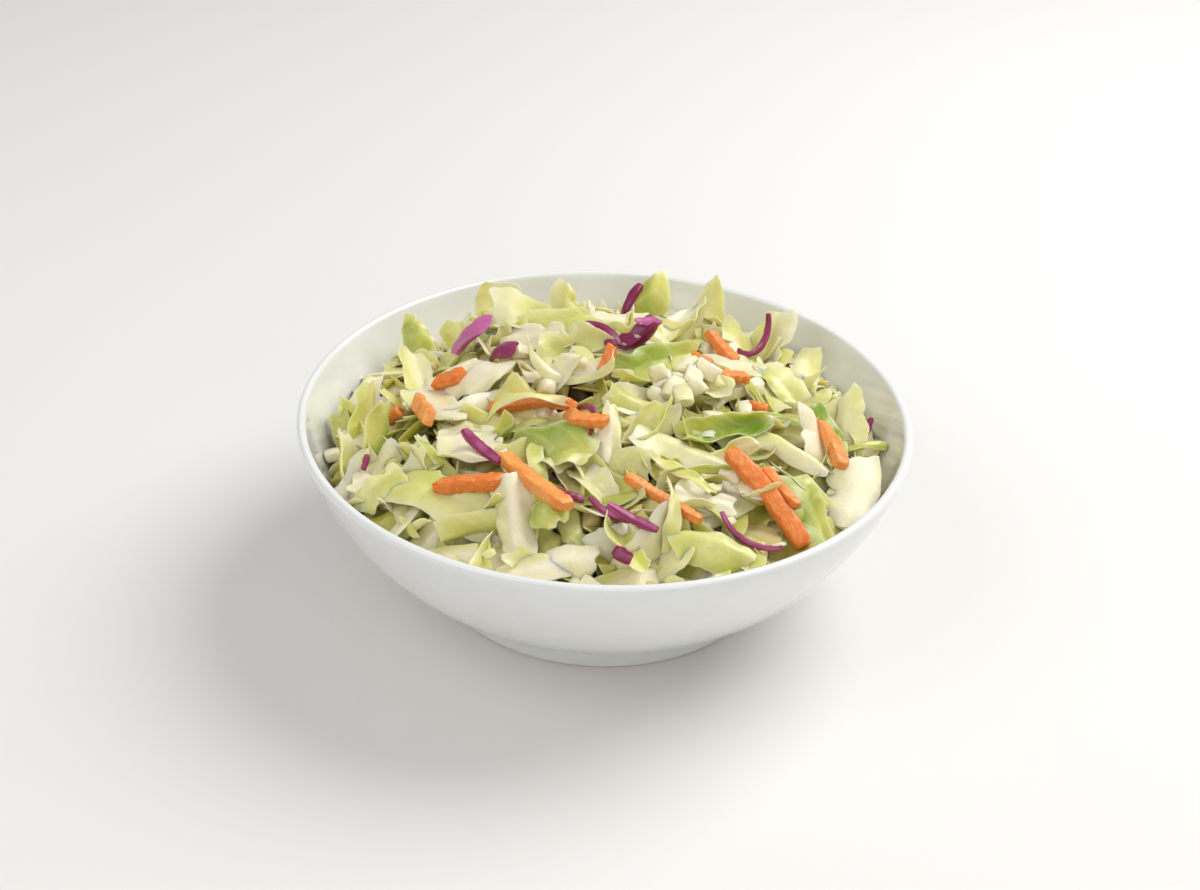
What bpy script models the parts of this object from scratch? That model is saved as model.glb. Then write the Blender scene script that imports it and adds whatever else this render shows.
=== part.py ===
"""Coleslaw heaped in a white porcelain bowl: a turned bowl with a foot ring, and the heap that fills it.

Metres, +Z up. The origin is the centre of the foot ring's underside, on the surface that the bowl stands on.
Seen from -Y, +X is to the right and +Y is the back of the bowl.
"""

import math
import random

import bmesh
import bpy
import numpy as np
from mathutils import Vector, noise

# Bowl: the outside is driven by the rim, the foot and the wall's slope at each of them.
RIM_RADIUS = 0.0775
FOOT_RADIUS = 0.0440
FOOT_HEIGHT = 0.0067  # where the wall leaves the foot ring
FOOT_WIDTH = 0.0042
FOOT_ROUNDING = 0.0006
SLOPE_AT_FOOT = math.radians(18)  # above the horizontal
SLOPE_AT_RIM = math.radians(74)
SLOPE_EASE = 0.72  # under 1, the wall steepens early
WALL_AT_RIM = 0.0024
WALL_AT_FOOT = 0.0044
FLOOR_THICKNESS = 0.0044
RECESS_HEIGHT = 0.0036  # of the glazed hollow inside the foot ring

# Heap: contact with the wall, crown, and the shreds that show as relief on it.
GAP = 0.0004  # between the heap and the glaze
CROWN_ABOVE_RIM = 0.0080
EDGE_BELOW_RIM = 0.0120
EDGE_LEAN = 0.0012  # how much higher the edge is at the back than at the sides
EDGE_WAVE = 0.0016
EDGE_WAVE_SIZE = 0.021
DOME_POWER = 1.9
HUMP_HEIGHT = 0.0022
HUMP_SIZE = 0.027
SHRED_COUNT = 260
SHRED_HALF_LENGTH = (0.0060, 0.0130)
SHRED_HALF_WIDTH = (0.0026, 0.0058)
SHRED_RISE = (0.0010, 0.0050)
RELIEF_FADE = 0.0150  # the relief dies away over this much of the radius next to the wall
SEED = 7

# Facets.
BOWL_SEGMENTS = 64
WALL_STEPS = 9
LIP_STEPS = 4
FLOOR_STEPS = 3
HEAP_GRID = 40  # squares across the heap's top
HEAP_UNDER_RINGS = 6

PORCELAIN = ("porcelain", (0.90, 0.90, 0.89), 0.16)
SLAW = ("slaw", (0.80, 0.82, 0.55), 0.45)


def outer_wall():
    """(radius, height, slope) up the outside of the wall, from the foot ring to the lip."""
    share = np.linspace(0, 1, WALL_STEPS + 1)
    slope = SLOPE_AT_FOOT + (SLOPE_AT_RIM - SLOPE_AT_FOOT) * share**SLOPE_EASE
    middle = (slope[1:] + slope[:-1]) / 2
    across = np.concatenate([[0], np.cumsum(np.cos(middle))])
    up = np.concatenate([[0], np.cumsum(np.sin(middle))])
    step = (RIM_RADIUS - FOOT_RADIUS) / across[-1]
    return list(zip(FOOT_RADIUS + step * across, FOOT_HEIGHT + step * up, slope))


def inner_wall():
    """(radius, height) up the inside of the wall: the outer line set in by the wall's thickness."""
    points = []
    for i, (radius, height, slope) in enumerate(outer_wall()):
        thickness = WALL_AT_FOOT + (WALL_AT_RIM - WALL_AT_FOOT) * i / WALL_STEPS
        points.append((radius - thickness * math.sin(slope), height + thickness * math.cos(slope)))
    return points


def floor_line():
    """(radius, height) along the inside of the floor, from the axis to the wall, and meeting it smoothly."""
    edge_radius, edge_height = inner_wall()[0]
    centre_height = RECESS_HEIGHT + FLOOR_THICKNESS
    dish = edge_height - centre_height
    power = math.tan(SLOPE_AT_FOOT) * edge_radius / dish
    shares = [i / FLOOR_STEPS for i in range(FLOOR_STEPS)]
    return [(edge_radius * s, centre_height + dish * s**power) for s in shares]


def lip_line():
    """(radius, height) over the rounded lip, from the inside to the outside, without its two ends."""
    outer_radius, outer_height, slope = outer_wall()[-1]
    half = WALL_AT_RIM / 2
    centre_radius = outer_radius - half * math.sin(slope)
    centre_height = outer_height + half * math.cos(slope)
    points = []
    for i in range(1, LIP_STEPS + 1):
        turn = math.pi * i / (LIP_STEPS + 1)
        angle = slope + math.pi / 2 - turn
        points.append((centre_radius + half * math.cos(angle), centre_height + half * math.sin(angle)))
    return points


def foot_line():
    """(radius, height) under the bowl, round the foot ring and on to the middle of the recess."""
    outer, inner = FOOT_RADIUS, FOOT_RADIUS - FOOT_WIDTH
    rounding = FOOT_ROUNDING
    return [
        (outer, rounding),
        (outer - rounding, 0),
        (inner + rounding, 0),
        (inner, rounding),
        (inner - rounding, RECESS_HEIGHT - rounding),
        (inner - 3 * rounding, RECESS_HEIGHT),
        (0, RECESS_HEIGHT),
    ]


def make_material(name, colour, roughness):
    material = bpy.data.materials.new(name)
    material.use_nodes = True
    shader = material.node_tree.nodes["Principled BSDF"]
    shader.inputs["Base Color"].default_value = (*colour, 1)
    shader.inputs["Roughness"].default_value = roughness
    shader.inputs["Metallic"].default_value = 0
    return material


def add_object(name, mesh, finish):
    mesh.materials.append(make_material(*finish))
    mesh.shade_smooth()
    mesh.set_sharp_from_angle(angle=math.radians(40))
    thing = bpy.data.objects.new(name, mesh)
    bpy.context.scene.collection.objects.link(thing)
    return thing


def bowl():
    """The bowl, turned from its profile by a Screw modifier."""
    down_outside = [(radius, height) for radius, height, _ in reversed(outer_wall())]
    profile = floor_line() + inner_wall() + lip_line() + down_outside + foot_line()
    mesh = bpy.data.meshes.new("bowl")
    points = [(radius, 0, height) for radius, height in profile]
    mesh.from_pydata(points, [(i, i + 1) for i in range(len(points) - 1)], [])
    thing = add_object("bowl", mesh, PORCELAIN)
    screw = thing.modifiers.new("turn", "SCREW")
    screw.axis = "Z"
    screw.steps = screw.render_steps = BOWL_SEGMENTS
    screw.use_merge_vertices = True
    screw.merge_threshold = 0.00001
    return thing


def inside_line():
    """The bowl's inside as arrays: distance along it from the axis, radius and height."""
    line = np.array(floor_line() + inner_wall())
    along = np.concatenate([[0], np.cumsum(np.hypot(*np.diff(line, axis=0).T))])
    return along, line[:, 0], line[:, 1]


def edge_height(angle):
    """Height at which the heap meets the wall, in this direction."""
    rim = inner_wall()[-1][1]
    place = Vector((math.cos(angle), math.sin(angle), 0)) * (RIM_RADIUS / EDGE_WAVE_SIZE)
    return rim - EDGE_BELOW_RIM + EDGE_LEAN * math.sin(angle) + EDGE_WAVE * noise.noise(place)


def make_shreds():
    """Shreds that lie on the heap: place, heading, half sizes and rise."""
    chance = random.Random(SEED)
    shreds = []
    for _ in range(SHRED_COUNT):
        radius = RIM_RADIUS * math.sqrt(chance.random())
        angle = chance.uniform(0, 2 * math.pi)
        heading = chance.uniform(0, math.pi)
        sizes = [chance.uniform(*span) for span in (SHRED_HALF_LENGTH, SHRED_HALF_WIDTH, SHRED_RISE)]
        shreds.append((radius * math.cos(angle), radius * math.sin(angle), heading, *sizes))
    return shreds


def relief(x, y, shreds):
    """How far the heap's surface stands above its dome here: the highest shred, over broad humps."""
    highest = 0
    for shred_x, shred_y, heading, half_length, half_width, rise in shreds:
        along = ((x - shred_x) * math.cos(heading) + (y - shred_y) * math.sin(heading)) / half_length
        across = ((y - shred_y) * math.cos(heading) - (x - shred_x) * math.sin(heading)) / half_width
        if abs(along) < 1 and abs(across) < 1:
            highest = max(highest, rise * (1 - along**4) * (1 - across**2))
    hump = HUMP_HEIGHT * noise.noise(Vector((x, y, 0)) / HUMP_SIZE)
    return highest + hump


def heap_point(share, angle, shreds):
    """A point on the heap's top, at this share of the way from the axis to the wall."""
    _, radii, heights = inside_line()
    edge = edge_height(angle)
    edge_radius = np.interp(edge, heights, radii) - GAP
    crown = outer_wall()[-1][1] + CROWN_ABOVE_RIM
    radius = share * edge_radius
    x, y = radius * math.cos(angle), radius * math.sin(angle)
    fade = min(1, (edge_radius - radius) / RELIEF_FADE)
    height = edge + (crown - edge) * (1 - share**DOME_POWER) + fade * relief(x, y, shreds)
    return x, y, height


def under_point(share, angle):
    """A point on the heap's underside, at this share of the way along the glaze from the axis to the edge."""
    along, radii, heights = inside_line()
    reach = share * np.interp(edge_height(angle), heights, along)
    radius = float(np.interp(reach, along, radii)) - GAP * share
    height = float(np.interp(reach, along, heights)) + GAP * (1 - share)
    return radius * math.cos(angle), radius * math.sin(angle), height


def grid_place(i, j):
    """(share, angle) of a point of the square grid once it is bent into a disc."""
    u, v = 2 * i / HEAP_GRID - 1, 2 * j / HEAP_GRID - 1
    if u == 0 and v == 0:
        return 0, 0
    if abs(u) >= abs(v):
        turn = 0 if u > 0 else math.pi
        return abs(u), turn + math.pi / 4 * v / u
    turn = math.pi / 2 if v > 0 else -math.pi / 2
    return abs(v), turn - math.pi / 4 * u / v


def heap():
    """The heap of slaw: a domed top with shreds in relief, over an underside that follows the bowl."""
    shreds = make_shreds()
    model = bmesh.new()
    last = HEAP_GRID
    steps = range(last)
    grid = []
    for i in range(last + 1):
        grid.append([model.verts.new(heap_point(*grid_place(i, j), shreds)) for j in range(last + 1)])
    for i in steps:
        for j in steps:
            model.faces.new((grid[i][j], grid[i + 1][j], grid[i + 1][j + 1], grid[i][j + 1]))
    rim = [(i, 0) for i in steps] + [(last, j) for j in steps]
    rim += [(last - i, last) for i in steps] + [(0, last - j) for j in steps]
    angles = [grid_place(i, j)[1] for i, j in rim]
    rings = [[grid[i][j] for i, j in rim]]
    for ring in range(1, HEAP_UNDER_RINGS):
        rings.append([model.verts.new(under_point(1 - ring / HEAP_UNDER_RINGS, angle)) for angle in angles])
    bottom = model.verts.new(under_point(0, 0))
    for i, _ in enumerate(rim):
        for upper, lower in zip(rings, rings[1:]):
            model.faces.new((upper[i - 1], lower[i - 1], lower[i], upper[i]))
        model.faces.new((bottom, rings[-1][i], rings[-1][i - 1]))
    bmesh.ops.recalc_face_normals(model, faces=model.faces)
    mesh = bpy.data.meshes.new("coleslaw")
    model.to_mesh(mesh)
    model.free()
    return add_object("coleslaw", mesh, SLAW)


def main():
    for thing in list(bpy.data.objects):
        bpy.data.objects.remove(thing)
    bowl()
    heap()


main()
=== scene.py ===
"""Coleslaw heaped in a white porcelain bowl: the glazed bowl, a relief core, and the cut vegetables over it.

Every shred is laid in turn on a field of heights, which is what is already in the bowl, so that it rests on
the pieces under it. The shreds of one kind are joined in one mesh. Metres and radians; -Y is the front.
"""

import math
import random
from functools import lru_cache

import bpy
import numpy as np
from mathutils import Matrix, Vector


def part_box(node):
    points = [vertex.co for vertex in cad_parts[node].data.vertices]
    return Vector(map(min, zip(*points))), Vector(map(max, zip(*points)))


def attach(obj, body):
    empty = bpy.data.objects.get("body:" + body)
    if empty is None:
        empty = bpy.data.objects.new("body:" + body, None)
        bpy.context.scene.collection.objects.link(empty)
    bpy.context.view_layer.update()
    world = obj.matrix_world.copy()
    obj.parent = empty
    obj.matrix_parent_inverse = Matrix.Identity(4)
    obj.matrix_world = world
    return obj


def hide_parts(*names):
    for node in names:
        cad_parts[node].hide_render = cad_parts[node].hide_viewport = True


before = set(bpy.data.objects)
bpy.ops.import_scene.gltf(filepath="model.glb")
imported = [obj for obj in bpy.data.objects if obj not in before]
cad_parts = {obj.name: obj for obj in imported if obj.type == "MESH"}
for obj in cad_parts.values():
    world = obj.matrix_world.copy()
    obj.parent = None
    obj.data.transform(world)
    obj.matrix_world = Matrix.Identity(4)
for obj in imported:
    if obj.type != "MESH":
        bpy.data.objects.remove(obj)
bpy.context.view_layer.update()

bl_info = {
    "name": "Coleslaw in a bowl",
    "version": (1, 0, 0),
    "blender": (4, 5, 0),
    "location": "View3D > Sidebar > Slaw",
    "description": "Makes a bowl of coleslaw: the glazed bowl, the heap's core and its loose shreds",
    "category": "Object",
}

BODY = "root"
BOWL_HIGH = Vector(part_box("bowl")[1])
HEAP_HIGH = Vector(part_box("coleslaw")[1])
RIM_RADIUS = BOWL_HIGH.x
RIM_HEIGHT = BOWL_HIGH.z


def linear(red, green, blue):
    """A colour as it looks on a screen, 0 to 255, turned into the linear values that a shader takes."""
    shares = (red / 255, green / 255, blue / 255)
    return tuple(c / 12.92 if c <= 0.04045 else ((c + 0.055) / 1.055) ** 2.4 for c in shares)


def length(name, description, default):
    return bpy.props.FloatProperty(
        name=name, description=description, default=default, unit="LENGTH", precision=4
    )


def angle(name, description, default):
    return bpy.props.FloatProperty(name=name, description=description, default=default, unit="ROTATION")


def number(name, description, default):
    return bpy.props.IntProperty(name=name, description=description, default=default, min=0)


def share(name, description, default):
    return bpy.props.FloatProperty(name=name, description=description, default=default, subtype="FACTOR")


def colour(name, description, default):
    return bpy.props.FloatVectorProperty(
        name=name, description=description, default=default, subtype="COLOR", size=3, min=0, max=1
    )


class SlawBowlSizes(bpy.types.PropertyGroup):
    """The bowl's sizes."""

    foot_radius: length("Foot radius", "Outside of the foot ring", 0.0440)
    foot_height: length("Foot height", "Where the wall leaves the foot ring", 0.0067)
    foot_width: length("Foot width", "Across the flat of the foot ring", 0.0042)
    foot_slope: angle("Slope at the foot", "Of the wall above the horizontal", math.radians(18))
    rim_slope: angle("Slope at the rim", "Of the wall above the horizontal", math.radians(74))
    slope_ease: share("Slope ease", "Under 1, the wall steepens early", 0.72)
    rim_wall: length("Wall at the rim", "Thickness", 0.0024)
    foot_wall: length("Wall at the foot", "Thickness", 0.0044)
    floor: length("Floor", "Thickness", 0.0044)
    recess: length("Recess", "Height of the hollow inside the foot ring", 0.0036)
    segments: number("Segments", "Round the bowl", 180)
    wall_steps: number("Wall steps", "Up the wall", 36)


class SlawHeapSizes(bpy.types.PropertyGroup):
    """The heap's sizes."""

    crown: length("Crown", "Height of the heap's middle over the rim", 0.0085)
    edge: length("Edge", "Depth of the heap's edge under the rim", 0.0095)
    cover: length("Cover", "Depth of the loose shreds over the core", 0.0075)
    under_count: number("Under shreds", "Most shreds in the lower layers", 500)
    upper_count: number("Upper shreds", "Most shreds in the top layer", 260)
    last_count: number("Last shreds", "Most narrow shreds laid over the big pieces", 70)
    dice_count: number("Dice", "Most chunks of stalk in the cluster near the middle", 16)
    crumb_count: number("Crumbs", "Most small bits between the shreds", 40)
    seed: number("Seed", "Of the heap's random numbers", 12)


class SlawColours(bpy.types.PropertyGroup):
    """The colours of the vegetables and the glaze."""

    glaze: colour("Glaze", "Of the bowl", linear(232, 233, 231))
    foot: colour("Bare foot", "Unglazed underside of the foot ring", linear(226, 218, 204))
    pale: colour("Pale leaf", "Heart leaves of the white cabbage", linear(238, 231, 170))
    yellow: colour("Yellow leaf", "Yellow-green leaves", linear(218, 214, 120))
    green: colour("Green leaf", "Outer leaves", linear(188, 193, 76))
    bright: colour("Bright leaf", "The greenest leaves", linear(114, 150, 8))
    rib: colour("Rib", "White ribs and stalk", linear(244, 234, 204))
    carrot: colour("Carrot", "Inside of the sticks", linear(234, 108, 0))
    carrot_pale: colour("Pale carrot", "Rough cut faces", linear(244, 166, 82))
    skin: colour("Red cabbage skin", "Outside of the red leaves", linear(134, 0, 68))
    flesh: colour("Red cabbage flesh", "Cut face of the red leaves", linear(214, 116, 172))
    # painted shade: the colour of the heap's core, which stands in for the shade deep between the shreds
    shade: colour("Depth", "What shows between the shreds", linear(84, 62, 20))


# Where things are in the bowl


def outer_wall(sizes):
    """Arrays of radius, height and slope up the outside of the wall, from the foot ring to the lip."""
    steps = np.linspace(0, 1, sizes.wall_steps + 1)
    slope = sizes.foot_slope + (sizes.rim_slope - sizes.foot_slope) * steps**sizes.slope_ease
    middle = (slope[1:] + slope[:-1]) / 2
    across = np.concatenate([[0], np.cumsum(np.cos(middle))])
    up = np.concatenate([[0], np.cumsum(np.sin(middle))])
    stride = (RIM_RADIUS - sizes.foot_radius) / across[-1]
    return sizes.foot_radius + stride * across, sizes.foot_height + stride * up, slope


def inside_line(sizes):
    """Arrays of radius and height along the glaze inside, from the axis over the floor and up to the lip."""
    radius, height, slope = outer_wall(sizes)
    thickness = np.linspace(sizes.foot_wall, sizes.rim_wall, len(radius))
    radius = radius - thickness * np.sin(slope)
    height = height + thickness * np.cos(slope)
    centre = sizes.recess + sizes.floor
    dish = height[0] - centre
    power = math.tan(sizes.foot_slope) * radius[0] / dish
    floor_steps = np.linspace(0, 1, 8, endpoint=False)
    floor_height = centre + dish * floor_steps**power
    return np.concatenate([radius[0] * floor_steps, radius]), np.concatenate([floor_height, height])


def dome(sizes, radius):
    """Height of the finished heap's top at a distance from the axis, leaving out its unevenness."""
    edge_radius = HEAP_HIGH.x
    low = RIM_HEIGHT - sizes.edge
    return low + (sizes.crown + sizes.edge) * (1 - (radius / edge_radius) ** 2.2)


# Deep gaps between the shreds: x and y from the bowl's axis, reach and depth, in metres
GAPS = (
    (-0.009, -0.004, 0.0078, 0.012),
    (-0.025, -0.012, 0.0035, 0.007),
    (0.047, 0.002, 0.0040, 0.008),
    (0.033, -0.003, 0.0035, 0.006),
    (0.012, -0.029, 0.0030, 0.006),
    (0.021, -0.052, 0.0035, 0.006),
    (-0.043, -0.015, 0.0035, 0.006),
    (-0.011, -0.062, 0.0030, 0.005),
)


def heap_height(sizes, x, y):
    """Height of the finished heap at a place: its dome, less its gaps."""
    height = dome(sizes, np.hypot(x, y))
    for centre_x, centre_y, reach, depth in GAPS:
        height = height - depth * np.exp(-(((x - centre_x) ** 2 + (y - centre_y) ** 2) / reach**2) ** 2)
    return height


class HeapField:
    """Heights of what is already in the bowl on a square grid, so that the next shred can be laid on it."""

    CELL = 0.0009
    CLEAR = 0.0004  # kept between a shred and the glaze
    KEPT_OPEN = 0.0107  # no shred laid at random covers a gap deeper than this

    def __init__(self, bowl_sizes, heap_sizes):
        self.sizes = heap_sizes
        self.reach = RIM_RADIUS + 0.002
        self.count = int(2 * self.reach / self.CELL) + 1
        along = np.arange(self.count) * self.CELL - self.reach
        self.x, self.y = np.meshgrid(along, along, indexing="ij")
        self.radius = np.hypot(self.x, self.y)
        self.wall_radius, self.wall_height = inside_line(bowl_sizes)
        self.target = heap_height(heap_sizes, self.x, self.y)
        wall = np.interp(self.radius, self.wall_radius, self.wall_height, right=RIM_HEIGHT + 0.004)
        self.height = np.maximum(wall, self.target - heap_sizes.cover)
        self.open = dome(heap_sizes, self.radius) - self.target > self.KEPT_OPEN
        self.laid = {}

    def cells(self, x, y):
        i = np.clip(((x + self.reach) / self.CELL).round().astype(int), 0, self.count - 1)
        j = np.clip(((y + self.reach) / self.CELL).round().astype(int), 0, self.count - 1)
        return i, j

    def normal(self, x, y, reach):
        """Upward normal of the heap here, as a plane through the heights within this reach."""
        i, j = self.cells(np.array([x]), np.array([y]))
        span = max(2, int(reach / self.CELL))
        low_i, low_j = max(0, i[0] - span), max(0, j[0] - span)
        patch = self.height[low_i : i[0] + span + 1, low_j : j[0] + span + 1]
        slope_x = np.gradient(patch, self.CELL, axis=0).mean()
        slope_y = np.gradient(patch, self.CELL, axis=1).mean()
        return Vector((-slope_x, -slope_y, 1)).normalized()

    def inside_radius(self, height):
        """How far out a shred may reach at a height: to the glaze, and over the rim only a little."""
        inside = np.interp(height, self.wall_height, self.wall_radius) - self.CLEAR
        return inside + 0.5 * np.clip(height - RIM_HEIGHT, 0, 0.004)

    def hollow(self, chance, tries, reach):
        """X and y of a place that is low for where it is on the heap, out of a few tried at random."""
        best = None
        for _ in range(tries):
            radius = reach * math.sqrt(chance.random())
            turn = chance.uniform(0, 2 * math.pi)
            x, y = radius * math.cos(turn), radius * math.sin(turn)
            i, j = self.cells(np.array([x]), np.array([y]))
            patch = (slice(i[0] - 2, i[0] + 3), slice(j[0] - 2, j[0] + 3))
            depth = (self.target[patch] - self.height[patch]).mean()
            if best is None or depth > best[0]:
                best = (depth, x, y)
        return best[1:]

    def lay(self, kind, shape, x, y, heading, pitch=0, roll=0, sink=0.3, lean=1, most=None):
        """Lays a shred on the heap, turned to its slope, with this share of it sunk in what lies under it.

        One that would stand more than this much over the finished heap, or cover a deep gap, is left out.
        """
        up = Vector((0, 0, 1)).lerp(self.normal(x, y, 0.006), lean).normalized()
        turn = up.to_track_quat("Z", "Y").to_matrix()
        forward = turn.inverted() @ Vector((math.cos(heading), math.sin(heading), 0))
        turn = turn @ Matrix.Rotation(math.atan2(forward.y, forward.x), 3, "Z")
        turn = turn @ Matrix.Rotation(-pitch, 3, "Y") @ Matrix.Rotation(roll, 3, "X")
        turn = np.array(turn)
        points = shape.points @ turn.T
        i, j = self.cells(points[:, 0] + x, points[:, 1] + y)
        rest = self.height[i, j] - points[:, 2]
        place = np.array([x, y, np.quantile(rest, 1 - sink)])
        over = np.quantile(points[:, 2] + place[2] - self.target[i, j], 0.85)
        if most is not None and (over > most or self.open[i, j].any()):
            return
        shape.points = self.kept_inside(points + place)
        self.raise_to(self.kept_inside(shape.probes @ turn.T + place))
        self.laid.setdefault(kind, []).append(shape)

    def kept_inside(self, points):
        radius = np.hypot(points[:, 0], points[:, 1])
        scale = np.minimum(1, self.inside_radius(points[:, 2]) / np.maximum(radius, 1e-6))
        return points * np.stack([scale, scale, np.ones_like(scale)], axis=1)

    def raise_to(self, points):
        i, j = self.cells(points[:, 0], points[:, 1])
        np.maximum.at(self.height, (i, j), points[:, 2])


class Shape:
    """One shred: its points, faces, colour at each point, and each point's place in the uncut vegetable."""

    def __init__(self, points, faces, tint, grain, probes):
        self.points = points
        self.faces = faces
        self.tint = tint
        self.grain = grain
        self.probes = probes


# How a shred is shaped


@lru_cache
def sheet_faces(rows, columns):
    """Faces of a closed thin sheet: its top, its underside and the band round its edge."""
    index = np.arange(rows * columns).reshape(rows, columns)
    top = np.stack([index[:-1, :-1], index[1:, :-1], index[1:, 1:], index[:-1, 1:]], axis=-1).reshape(-1, 4)
    under = top[:, ::-1] + rows * columns
    edge = np.concatenate([index[:-1, 0], index[-1, :-1], index[:0:-1, -1], index[0, :0:-1]])
    ahead = np.roll(edge, -1)
    band = np.stack([edge, edge + rows * columns, ahead + rows * columns, ahead], axis=-1)
    return np.concatenate([top, under, band])


@lru_cache
def stick_faces(rings, sides):
    """Faces of a closed stick: its sides, and a fan at each end."""
    index = np.arange(rings * sides).reshape(rings, sides)
    around = np.roll(index, -1, axis=1)
    side = np.stack([index[:-1], around[:-1], around[1:], index[1:]], axis=-1).reshape(-1, 4)
    first, last = rings * sides, rings * sides + 1
    ends = [(first, around[0, k], index[0, k]) for k in range(sides)]
    ends += [(last, index[-1, k], around[-1, k]) for k in range(sides)]
    return [tuple(face) for face in side] + ends


def midpoints(grid):
    """A grid of points with the points halfway to the next row added, as a plain list."""
    return np.concatenate([grid, (grid[1:] + grid[:-1]) / 2]).reshape(-1, 3)


def wave(chance, place, reach):
    """A smooth random wave over a place array, between about -1 and 1, with swells about this reach apart."""
    total = 0
    for _ in range(3):
        turn = chance.uniform(0, 2 * math.pi)
        pace = 2 * math.pi / (reach * chance.uniform(0.7, 1.6))
        along = place[0] * math.cos(turn) + place[1] * math.sin(turn)
        total = total + np.sin(pace * along + chance.uniform(0, 2 * math.pi))
    return total / 2


FLAT = 0.02  # radians; a sheet cupped less than this is as good as flat
PALE_RIM = (0.86, 0.82, 0.60)


def bent(x, y, z, bow, span):
    """Bends a strip up about Y, through this angle over its span."""
    if abs(bow) < 0.01:
        return x, y, z
    bend = span / bow
    turn = x / bend
    return (bend - z) * np.sin(turn), y, bend - (bend - z) * np.cos(turn)


def sheet(
    chance, size, bow=0, cup=0, twist=0, point=0, skew=0, ruffle=0, rib=0, fold=0,
    thickness=0.0006, grid=(17, 11),
):
    """Points of a leaf piece: a strip of this size with an uneven outline, folded, cupped, bowed and twisted.

    The angles bow and cup are the turn from end to end and from side to side. A rib is a thick white stalk
    along it, and point draws its far end in. Returns the top skin, the under skin and the grid's place.
    """
    span, width = size
    s, t = np.meshgrid(np.linspace(-1, 1, grid[0]), np.linspace(-1, 1, grid[1]), indexing="ij")
    edge = 1 + 0.15 * wave(chance, (s, np.sign(t) * 0.7), 1.5) + 0.05 * wave(chance, (s, np.sign(t)), 0.45)
    tear = np.exp(-(((s - chance.uniform(-0.7, 0.7)) / 0.12) ** 2)) * (t * chance.choice((-1, 1)) > 0)
    edge = edge - chance.choice((0, 0, 0.25, 0.4)) * tear
    ends = (1 - np.abs(s) ** 9 * 0.22) * (1 - point * ((1 + s) / 2) ** 1.8)
    cut = skew + chance.uniform(-0.4, 0.4) * s
    x = span / 2 * (s + 0.05 * wave(chance, (t, s * 0.2), 1.1)) + cut * width / 2 * t
    y = width / 2 * t * edge * ends
    swell = 0.00015 if rib else 0.0004
    z = swell * wave(chance, (x, y), 0.011) + swell * 0.15 * wave(chance, (x, y), 0.004)
    z = z + fold * width / 2 * np.sqrt((t - chance.uniform(-0.5, 0.5)) ** 2 + 0.01)
    z = z + ruffle * np.abs(t) ** 1.5 * wave(chance, (s * 1.2, np.sign(t)), 1.0)
    turn_y = cup * (1 + chance.uniform(-0.3, 0.6) * s)
    bend = width / np.where(np.abs(turn_y) < FLAT, FLAT, turn_y)
    y, z = (bend - z) * np.sin(y / bend), bend - (bend - z) * np.cos(y / bend)
    x, y, z = bent(x, y, z, bow, span)
    turn = twist * s / 2
    y, z = y * np.cos(turn) - z * np.sin(turn), y * np.sin(turn) + z * np.cos(turn)
    middle = np.stack([x, y, z], axis=-1)
    middle -= middle.mean(axis=(0, 1))
    normal = np.cross(np.gradient(middle, axis=0), np.gradient(middle, axis=1))
    normal /= np.maximum(np.linalg.norm(normal, axis=-1, keepdims=True), 1e-9)
    depth = thickness * (1 - 0.7 * np.maximum(np.abs(s), np.abs(t)) ** 5)
    depth = depth + rib * np.exp(-((t / 0.38) ** 2)) * (1 - 0.25 * s)
    half = normal * depth[..., None] / 2
    return middle + half, middle - half, (s, t)


def leaf(chance, size, inner, outer, pale_rim=0.45, **form):
    """A piece of leaf that turns from its inner colour to its outer one, across it and towards one end."""
    top, under, (s, t) = sheet(chance, size, **form)
    side, drift = chance.choice((-0.5, 0.5)), chance.uniform(-0.45, 0.45)
    mask = 0.5 + side * t + drift * s + 0.25 * wave(chance, (s, t * 0.8), 1.4)
    rib = form.get("rib", 0)
    if rib:
        mask = mask * (1 - np.exp(-((t / 0.5) ** 2)))
    mask = np.clip(mask, 0, 1)[..., None]
    rim = pale_rim * np.maximum(np.abs(s), np.abs(t))[..., None] ** 9
    tint = (np.array(inner) * (1 - mask) + np.array(outer) * mask) * chance.uniform(0.92, 1.05)
    tint = tint * (1 - rim) + np.array(PALE_RIM) * rim
    grain = np.stack([s * size[0] / 2, t * size[1] / 2, np.full_like(s, chance.uniform(0, 9))], axis=-1)
    rows, columns = s.shape
    return Shape(
        np.concatenate([top.reshape(-1, 3), under.reshape(-1, 3)]),
        sheet_faces(rows, columns),
        np.concatenate([tint.reshape(-1, 3)] * 2),
        np.concatenate([grain.reshape(-1, 3)] * 2),
        midpoints(top),
    )


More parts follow.
